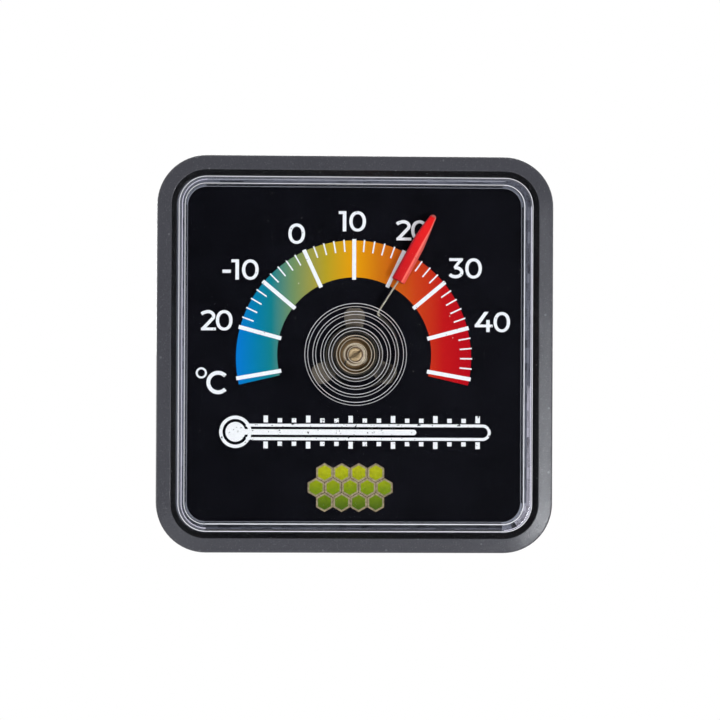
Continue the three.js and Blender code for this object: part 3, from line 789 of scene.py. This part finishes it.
def arc(centre, radii, start, end, steps=24):
    """Points on an ellipse. Angles are anticlockwise from 3 o'clock."""
    found = []
    for step in range(steps + 1):
        turn = math.radians(start + (end - start) * step / steps)
        found.append((centre[0] + radii[0] * math.cos(turn),
                      centre[1] + radii[1] * math.sin(turn)))
    return found


def oval(half_width, half_height, bulge):
    """A closed outline, an ellipse for a bulge of 2 and nearer a rectangle for more."""
    outline = []
    for step in range(OVAL_STEPS):
        turn = 2 * math.pi * step / OVAL_STEPS
        cos, sin = math.cos(turn), math.sin(turn)
        outline.append(Vector((
            half_width * math.copysign(abs(cos) ** (2 / bulge), cos),
            half_height * math.copysign(abs(sin) ** (2 / bulge), sin),
        )))
    return outline


def circle(centre, radius):
    return [centre + p for p in oval(radius, radius, 2)]


def between(outer, inner):
    """The quadrilaterals between two closed outlines of equal point counts."""
    count = len(outer)
    return [
        [outer[i], outer[(i + 1) % count], inner[(i + 1) % count], inner[i]]
        for i in range(count)
    ]


# Numerals stand on a base line, with a height of 1. Each gives its polygons and its advance.

def glyph_zero():
    outer = [p + Vector((0.436, 0.497)) for p in oval(0.41, 0.502, 2.15)]
    inner = [p + Vector((0.436, 0.493)) for p in oval(0.25, 0.358, 2.1)]
    return between(outer, inner), 0.89


def glyph_one():
    return [[(0, 1), (0, 0.855), (0.2, 0.855), (0.2, 0), (0.375, 0), (0.375, 1)]], 0.5


def glyph_two():
    bowl = [(0.085, 0.8), (0.16, 0.86)] + arc((0.4, 0.705), (0.285, 0.218), 120, -28)
    return stroke(bowl + [(0.18, 0.1)], 0.16) + [
        [(0.063, 0), (0.8, 0), (0.8, 0.138), (0.063, 0.138)],
        [(0.063, 0.08), (0.3, 0.08), (0.24, 0.18), (0.063, 0.11)]], 0.77


def glyph_three():
    bowl = arc((0.345, 0.305), (0.315, 0.225), 97, -152)
    return stroke(bowl, 0.16) + [
        [(0.04, 1), (0.04, 0.86), (0.45, 0.86), (0.715, 0.89), (0.715, 1)],
        [(0.715, 0.9), (0.48, 0.865), (0.25, 0.57), (0.31, 0.46), (0.44, 0.6)]], 0.81


def glyph_four():
    return [
        [(0.01, 0.237), (0.9, 0.237), (0.9, 0.373), (0.01, 0.373)],
        [(0.01, 0.34), (0.235, 0.35), (0.695, 1), (0.482, 1)],
        [(0.582, 0), (0.753, 0), (0.753, 0.6), (0.582, 0.6)]], 0.92


def glyph_minus():
    return [[(0, 0.328), (0.41, 0.328), (0.41, 0.488), (0, 0.488)]], 0.44


GLYPHS = {"0": glyph_zero, "1": glyph_one, "2": glyph_two, "3": glyph_three,
          "4": glyph_four, "-": glyph_minus}


def numeral(text, centre):
    """The polygons of a number whose figures are centred on a place on the dial."""
    found = []
    reach = 0
    for character in text:
        polygons, advance = GLYPHS[character]()
        found += [[Vector((p[0] + reach, p[1] - 0.5)) for p in polygon] for polygon in polygons]
        reach += advance
    return [
        [Vector(centre) + (p - Vector((reach / 2, 0))) * NUMERAL_HEIGHT for p in polygon]
        for polygon in found
    ]


def scale_angle(celsius):
    return (celsius - SCALE_MIDDLE) * DEGREES_PER_CELSIUS


def band_start(angle):
    """How far from the print's centre the band begins: its inner edge is round the dial's axis."""
    along = PRINT_CENTRE.dot(on_dial(1, angle))
    return math.sqrt(along ** 2 - PRINT_CENTRE.length_squared + BAND_INNER ** 2) - along


def make_print():
    band = []
    first = scale_angle(SCALE_LEAST) - BAND_OVERHANG
    last = scale_angle(SCALE_MOST) + BAND_OVERHANG
    for i in range(BAND_STEPS):
        a, b = (first + (last - first) * k / BAND_STEPS for k in (i, i + 1))
        band.append([PRINT_CENTRE + on_dial(r, angle) for r, angle in (
            (band_start(a), a), (BAND_OUTER, a), (BAND_OUTER, b), (band_start(b), b))])
    make_ink("scale_band", band, scale_ink)

    ticks = []
    for celsius in range(SCALE_LEAST, SCALE_MOST + 1, 2):
        angle = scale_angle(celsius)
        if celsius % 10 == 0:
            ends, width = (band_start(angle) - 0.35, 18.1), 0.6
        elif celsius > -20:
            ends, width = (16.2, 18.05), 0.22
        else:
            continue
        ticks.append(bar(*(PRINT_CENTRE + on_dial(r, angle) for r in ends), width))
    make_ink("scale_ticks", ticks, white_ink, DIAL_FRONT + INK / 2, DIAL_FRONT + 2 * INK)

    figures = []
    for text, angle, radius in (
        ("20", -74.8, 21.6), ("-10", -52.1, 21.77), ("0", -24.82, 20.79), ("10", -0.65, 20.8),
        ("20", 24.23, 21.37), ("30", 51, 21.86), ("40", 75.15, 21.9),
    ):
        figures += numeral(text, PRINT_CENTRE + on_dial(radius, angle))
    unit = Vector((-20.65, -4.34))
    figures += stroke([unit + Vector(p) for p in arc((0, 0), (1.48, 1.48), 43, 317, 48)], 0.58)
    ring = Vector((-23.2, -2.89))
    figures += between(circle(ring, 0.84), circle(ring, 0.54))
    make_ink("numerals", figures, white_ink)


def rounded_bar(left, right, middle, half):
    """The outline of a bar with a round right end."""
    end = arc((right - half, middle), (half, half), -90, 90)
    return [Vector(p) for p in [(left, middle - half)] + end + [(left, middle + half)]]


def make_pictogram():
    """A lying thermometer with a bulb, a column and a row of marks."""
    left, right, middle = -20.45, 20.85, -11.8
    bulb_radius = 2.45
    bulb = Vector((left + bulb_radius, middle))
    tube_half, wall = 1.25, 0.45
    mark_count, mark_first, mark_pitch, mark_half = 16, 4.6, 2.15, 0.34
    outer = rounded_bar(bulb.x + 1.6, right, middle, tube_half)
    inner = rounded_bar(bulb.x + 1.6, right - wall, middle, tube_half - wall)
    shapes = between(outer, inner)[:-1]
    shapes += between(circle(bulb, bulb_radius), circle(bulb, bulb_radius - 0.5))
    shapes.append(circle(bulb, 1.5))
    shapes.append(rounded_bar(bulb.x, 9.5, middle, 0.42))
    for i in range(mark_count):
        x = bulb.x + mark_first + mark_pitch * i
        low, high = x - mark_half, x + mark_half
        reach = 1.05 if i % 3 == 0 else 0.65
        for side in (-1, 1):
            start = middle + side * (tube_half + 0.2)
            end = start + side * reach
            shapes.append([(low, start), (high, start), (high, end), (low, end)])
    make_ink("pictogram", shapes, worn_ink)


def emblem_fill():
    """Green print that grows yellower from the bottom up."""
    f = Finish("emblem_green")
    height = f.remap(f.split(f.place)[2], -24.4 * MM, -16.6 * MM)
    shade = f.ramp(height, [(0.1, colour(64, 92, 8)), (0.5, colour(122, 146, 10)),
                            (0.9, colour(180, 182, 14))])
    shade = f.blend(f.remap(f.noise(0.4, 4), 0.4, 0.7, 0, 0.3), shade, colour(36, 50, 8))
    return f.done(f.principled({
        "Base Color": shade, "Roughness": 0.4, "Specular IOR Level": 0.08,
        "Normal": f.bump(f.noise(0.3, 3), 0.01, 0.4)}))


def make_emblem():
    """A plain honeycomb of cells with metallic rims."""
    centre = Vector((-0.53, -20.2))
    size = 1.5
    rim_outer, cell_reach, rim_inner = size - 0.04, size - 0.3, size - 0.34
    hexagon = [on_dial(1, 60 * k) for k in range(6)]
    rims, cells = [], []
    for row, count in ((-1, 4), (0, 5), (1, 4)):
        for i in range(count):
            middle = centre + Vector((math.sqrt(3) * size * (i - (count - 1) / 2),
                                      1.5 * size * row))
            outer, cell, inner = (
                [middle + p * reach for p in hexagon]
                for reach in (rim_outer, cell_reach, rim_inner))
            rims += between(outer, inner)
            cells.append(cell)
    make_ink("emblem_rims", rims, bronze_ink, front=DIAL_FRONT + 2.5 * INK)
    make_ink("emblem_cells", cells, emblem_fill())


# Movement

def strip(name, line, materials, held=0):
    """The bimetal strip on edge along a line of points on the dial's plane.

    Its first lengths, as many as are held, have the second finish.
    """
    half = STRIP_THICKNESS / 2
    chamfer = 0.03
    section = [
        (half, COIL_REAR + chamfer), (half, COIL_FRONT - chamfer),
        (half - chamfer, COIL_FRONT), (chamfer - half, COIL_FRONT),
        (-half, COIL_FRONT - chamfer), (-half, COIL_REAR + chamfer),
        (chamfer - half, COIL_REAR), (half - chamfer, COIL_REAR),
    ]
    rings = []
    for i, point in enumerate(line):
        along = line[min(i + 1, len(line) - 1)] - line[max(i - 1, 0)]
        side = Vector((-along.y, along.x)).normalized()
        rings.append([at_depth(point + side * offset, depth) for offset, depth in section])
    points, faces = skin(rings)
    kinds = [1 if i < held * len(section) else 0 for i in range(len(faces))]
    return make_object(name, points, faces, materials, kinds, sharp=40)


def coil_radius(turns):
    pitch = (COIL_OUTER - COIL_INNER - COIL_OPENING) / COIL_TURNS
    opened = smoothstep(turns, COIL_TURNS - COIL_OPENING_TURNS, COIL_TURNS)
    return COIL_INNER + pitch * turns + COIL_OPENING * opened


def bezier(start, control, end, steps):
    found = []
    for step in range(steps + 1):
        t = step / steps
        found.append(start * (1 - t) ** 2 + control * 2 * t * (1 - t) + end * t * t)
    return found


coil_start = READING_ANGLE + math.degrees(COIL_END_GAP / COIL_OUTER) + 360 * COIL_TURNS
slit_angle = coil_start + COIL_LEAD
bend_angle = math.degrees(ARM_BEND / COIL_OUTER)


def make_coil():
    end_turns = (coil_start - READING_ANGLE - bend_angle) / 360
    count = round(end_turns * STEPS_PER_TURN)
    spiral = []
    for step in range(count + 1):
        turns = end_turns * step / count
        spiral.append(on_dial(coil_radius(turns), coil_start - 360 * turns))
    held = on_dial(-POST_RADIUS / 2, slit_angle)
    leaves = on_dial(POST_RADIUS + STRIP_THICKNESS, slit_angle)
    lead = bezier(leaves, on_dial(COIL_INNER, slit_angle), spiral[0], 12)
    line = [held] + lead + spiral[1:]
    made = strip("coil_strip", line, [bimetal, bimetal_gold], held=1)
    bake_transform(made)
    lengths = [0.0]
    for a, b in zip(line, line[1:]):
        lengths.append(lengths[-1] + (b - a).length)
    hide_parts("bimetal_coil")


def make_arm():
    start = on_dial(COIL_OUTER, bend_angle)
    root = Vector((0, COIL_OUTER))
    end = Vector((FLAG_OFFSET, FLAG_BASE))
    away = (end - root).normalized()
    line = bezier(start, root, root + away * ARM_BEND, 10)
    line += [root + (end - root) * share for share in (0.35, 0.7)]
    line += [end, end + Vector((0, ARM_INSERTION))]
    made = strip("arm_strip", [turn_point(p, READING_ANGLE) for p in line], [bimetal_bright])
    place(made, "pointer", "bimetal_strip", "pointer_arm")


def make_flag():
    """A moulded sleeve with a broad bevel on its right and a narrow one on its left."""
    stations = [(-0.05, -0.12), (0.07, 0.0), (2.8, 0.0), (FLAG_PARALLEL, 0.0)]
    top = FLAG_LENGTH - FLAG_TIP_HALF + 0.04
    halves = [(z, FLAG_HALF + grow) for z, grow in stations]
    tip = FLAG_TIP_HALF + 0.05
    for step in range(1, 9):
        z = FLAG_PARALLEL + (top - FLAG_PARALLEL) * step / 8
        halves.append((z, FLAG_HALF + (tip - FLAG_HALF) * step / 8))
    taper_end = len(halves) - 1
    for step in range(1, 9):
        turn = math.radians(86 * step / 8)
        halves.append((top + FLAG_TIP_HALF * math.sin(turn), tip * math.cos(turn)))
    rings = []
    for z, half in halves:
        share = min(half / FLAG_HALF, 1)
        right = (0.66 - 0.3 * smoothstep(z, FLAG_PARALLEL, FLAG_LENGTH - 1.5)) * share
        left, rear = 0.28 * share, 0.2 * share
        end = 1 - 0.35 * smoothstep(z, FLAG_LENGTH - 2.2, FLAG_LENGTH) - (0.06 if z < 0 else 0)
        middle = (FLAG_FRONT + FLAG_REAR) / 2
        swell = 0.1 * smoothstep(z, FLAG_PARALLEL, FLAG_PARALLEL + 1.5)
        swell *= 1 - smoothstep(z, FLAG_LENGTH - 2.2, FLAG_LENGTH - 0.6)
        least = -half - swell
        section = [
            (half - rear, FLAG_REAR), (half, FLAG_REAR + rear), (half, FLAG_FRONT - right * 0.4),
            (half - right * 0.1, FLAG_FRONT - right * 0.24),
            (half - right * 0.55, FLAG_FRONT - right * 0.08), (half - right, FLAG_FRONT),
            (least + left, FLAG_FRONT), (least, FLAG_FRONT - left * 0.5),
            (least, FLAG_REAR + rear), (least + rear, FLAG_REAR),
        ]
        rings.append([
            at_depth(turn_point((x + FLAG_OFFSET, z + FLAG_BASE), READING_ANGLE),
                     middle + (depth - middle) * end)
            for x, depth in section
        ])
    points, faces = skin(rings)
    # Faces take lit or shaded copies of the red by where they face: painted highlight on the right
    # and at the tip, painted shade on the left, at the rear and at the root end.
    red, edge, side, rim = range(4)
    around = [side, rim, rim, rim, edge, red, side, side, side, side]
    kinds = [around[i % len(around)] for i in range(len(faces) - 2)]
    for i, kind in enumerate(kinds):
        if i < len(around) and kind == red:
            kinds[i] = side
        if i // len(around) > taper_end:
            kinds[i] = rim
    finishes = [flag_red, flag_edge_highlight, flag_side_shade, flag_rim_highlight]
    made = make_object("flag_sleeve", points, faces, finishes, kinds + [side, rim], sharp=28)
    clearance = 0.12
    half = STRIP_THICKNESS / 2 + clearance
    cut(made, (FLAG_OFFSET - half, COIL_REAR - clearance, FLAG_BASE - 1),
        (FLAG_OFFSET + half, COIL_FRONT + clearance, FLAG_BASE + ARM_INSERTION + clearance),
        READING_ANGLE)
    place(made, "pointer", "flag_plastic", "pointer_flag")


def make_post():
    front = COIL_REAR - 0.2
    profile = [
        (0.02, SHANK_REAR), (SHANK_RADIUS - 0.1, SHANK_REAR), (SHANK_RADIUS, SHANK_REAR + 0.1),
        (SHANK_RADIUS, CUP_FLOOR), (SHOULDER_RADIUS - 0.05, CUP_FLOOR),
        (SHOULDER_RADIUS, CUP_FLOOR + 0.05), (SHOULDER_RADIUS, front - 0.45),
        (SHOULDER_RADIUS - 0.06, front - 0.36), (SHOULDER_RADIUS - 0.36, front - 0.22),
        (SHOULDER_RADIUS - 0.42, front - 0.1), (SHOULDER_RADIUS - 0.5, front - 0.02),
        (SHOULDER_RADIUS - 0.58, front), (SHOULDER_RADIUS - 0.66, front - 0.02),
        (SHOULDER_RADIUS - 0.74, front - 0.1), (SHOULDER_RADIUS - 0.8, front - 0.2),
        (POST_RADIUS + 0.06, front - 0.2), (POST_RADIUS, front - 0.14),
        (POST_RADIUS, POST_FRONT - 0.12), (POST_RADIUS - 0.04, POST_FRONT - 0.04),
        (POST_RADIUS - 0.12, POST_FRONT), (0.02, POST_FRONT),
    ]
    points, faces = skin(revolve(profile))
    made = make_object("post_slotted", points, faces, [brass])
    side = STRIP_THICKNESS / 2 + 0.04
    cut(made, (-side, COIL_REAR - 0.12, -2 * POST_RADIUS),
        (side, POST_FRONT + 0.12, 2 * POST_RADIUS), slit_angle)
    place(made, "hub", "post_brass", "centre_post")


# Rear

def make_pad():
    sections = rounded_edge(PAD_HALF - 0.12, 0.12, 0.12, -90, 0)
    sections += [(PAD_HALF - 0.05, COVER_REAR / 2)]
    sections += rounded_edge(PAD_HALF - 0.08, COVER_REAR - 0.08, 0.08, 0, 90)
    rings = [square_ring(half, depth, PAD_CORNER_CENTRE) for half, depth in sections]
    points, faces = skin(rings)
    made = make_object("foam_tape_square", points, faces, [foam_white])
    place(made, "root", "foam_tape", "adhesive_pad")


def dress(node, material, width):
    """A CAD node keeps its shape, with a finish and softened edges."""
    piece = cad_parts[node]
    piece.data.materials.clear()
    piece.data.materials.append(material)
    soften(piece, width)


make_housing()
make_lens()
make_print()
make_pictogram()
make_emblem()
make_coil()
make_arm()
make_flag()
make_post()
make_pad()
dress("dial_plate", dial_black, 0.02)
dress("coil_carrier", stamped, 0.05)
dress("friction_washer", spring, 0.03)
dress("retaining_ring", spring, 0.04)
dress("back_cover", cover_plastic, 0.12)


# Studio

def plane(name, centre, across, up, material):
    """A flat rectangle given by its centre and its two half sides, in metres."""
    centre, across, up = Vector(centre), Vector(across), Vector(up)
    mesh = bpy.data.meshes.new(name)
    mesh.from_pydata([centre - across - up, centre + across - up, centre + across + up,
                      centre - across + up], [], [(0, 1, 2, 3)])
    mesh.materials.append(material)
    made = add_object(name, mesh)
    return made


def seen_by(nodes, links):
    """1 for rays that show the background: from the camera, a reflection or through glass."""
    path = nodes.new("ShaderNodeLightPath")
    seen = path.outputs["Is Camera Ray"]
    for ray in ("Is Glossy Ray", "Is Transmission Ray"):
        either = nodes.new("ShaderNodeMath")
        either.operation = "MAXIMUM"
        links.new(seen, either.inputs[0])
        links.new(path.outputs[ray], either.inputs[1])
        seen = either.outputs[0]
    return seen


AMBIENT = 0.54
LAMP_COLOUR = (0.94, 0.97, 1.0)


def make_world():
    world = bpy.data.worlds.new("studio")
    world.use_nodes = True
    nodes, links = world.node_tree.nodes, world.node_tree.links
    nodes.clear()
    output = nodes.new("ShaderNodeOutputWorld")
    mix = nodes.new("ShaderNodeMixShader")
    for index, strength in ((1, AMBIENT), (2, 1.0)):
        background = nodes.new("ShaderNodeBackground")
        background.inputs["Color"].default_value = (1, 1, 1, 1)
        background.inputs["Strength"].default_value = strength
        links.new(background.outputs[0], mix.inputs[index])
    links.new(seen_by(nodes, links), mix.inputs[0])
    links.new(mix.outputs[0], output.inputs["Surface"])
    bpy.context.scene.world = world


def floor_material():
    """Pale and plain, white far off, and keeping the shadow near the object."""
    f = Finish("floor_pale")
    x, y, _ = f.split(f.place)
    white = f.remap(f.length(x, y), 0.05, 0.3, 0.6, 1.0)
    share = f.math("MULTIPLY", white, seen_by(f.tree.nodes, f.tree.links))
    lit = f.add("BsdfDiffuse", {"Color": (0.9, 0.9, 0.9, 1)}).outputs[0]
    glow = f.add("Emission", {"Color": (1, 1, 1, 1), "Strength": 1.0}).outputs[0]
    return f.done(f.mix(share, lit, glow))


def card_material():
    """Nearly black, for the lens to mirror."""
    f = Finish("card_black")
    shade = f.ramp(f.noise(30, 3), [(0.3, colour(0, 0, 0)), (0.7, colour(6, 6, 7))])
    return f.done(f.add("Emission", {"Color": shade, "Strength": 1.0}).outputs[0])


def lamp(name, location, width, height, level):
    """A soft lamp aimed at the object, in metres. Level is the share of white it gives there."""
    data = bpy.data.lights.new(name, "AREA")
    data.shape = "RECTANGLE"
    data.size = width
    data.size_y = height
    stand = Vector(location)
    data.energy = level * math.pi ** 2 * stand.length_squared
    data.color = LAMP_COLOUR
    made = add_object(name, data)
    aim = stand.to_track_quat("Z", "Y").to_matrix().to_4x4()
    made.matrix_world = Matrix.Translation(stand) @ aim
    return made


def make_studio():
    plane("floor", (0, 0, -0.3), (3, 0, 0), (0, 3, 0), floor_material())
    card = plane("dark_card", (0, -0.68, 0), (0.42, 0, 0), (0, 0, 0.42), card_material())
    card.visible_camera = False
    card.visible_diffuse = False
    card.visible_shadow = False
    lamp("key", (0.196, -0.5, -0.09), 0.08, 0.1, 0.32)
    lamp("fill", (-0.0455, -0.166, -0.0515), 0.03, 0.03, 0.02)
    front = lamp("front", (-0.03, -0.55, 0.02), 0.2, 0.2, 0.25)
    front.visible_glossy = False
    front.visible_transmission = False
    lamp("rear", (0.1, 0.6, 0.15), 0.3, 0.3, 0.35)


def make_camera():
    """In front and a little to the left, looking slightly up, and turned a little on its axis."""
    distance = 0.599
    yaw, pitch, roll = -3.4, 90.3, 0.26
    target = Vector((0.70, -HOUSING_FRONT, -0.84)) * MM
    data = bpy.data.cameras.new("camera")
    data.sensor_width = 36
    data.lens = 198.2
    data.clip_start = 0.01
    data.clip_end = 10
    made = add_object("camera", data)
    placed = Matrix.Translation(target)
    for angle, axis in ((yaw, "Z"), (pitch, "X"), (roll, "Z")):
        placed = placed @ Matrix.Rotation(math.radians(angle), 4, axis)
    made.matrix_world = placed @ Matrix.Translation((0, 0, distance))
    bpy.context.scene.camera = made


make_world()
make_studio()
make_camera()
bpy.context.scene.view_settings.view_transform = "Standard"
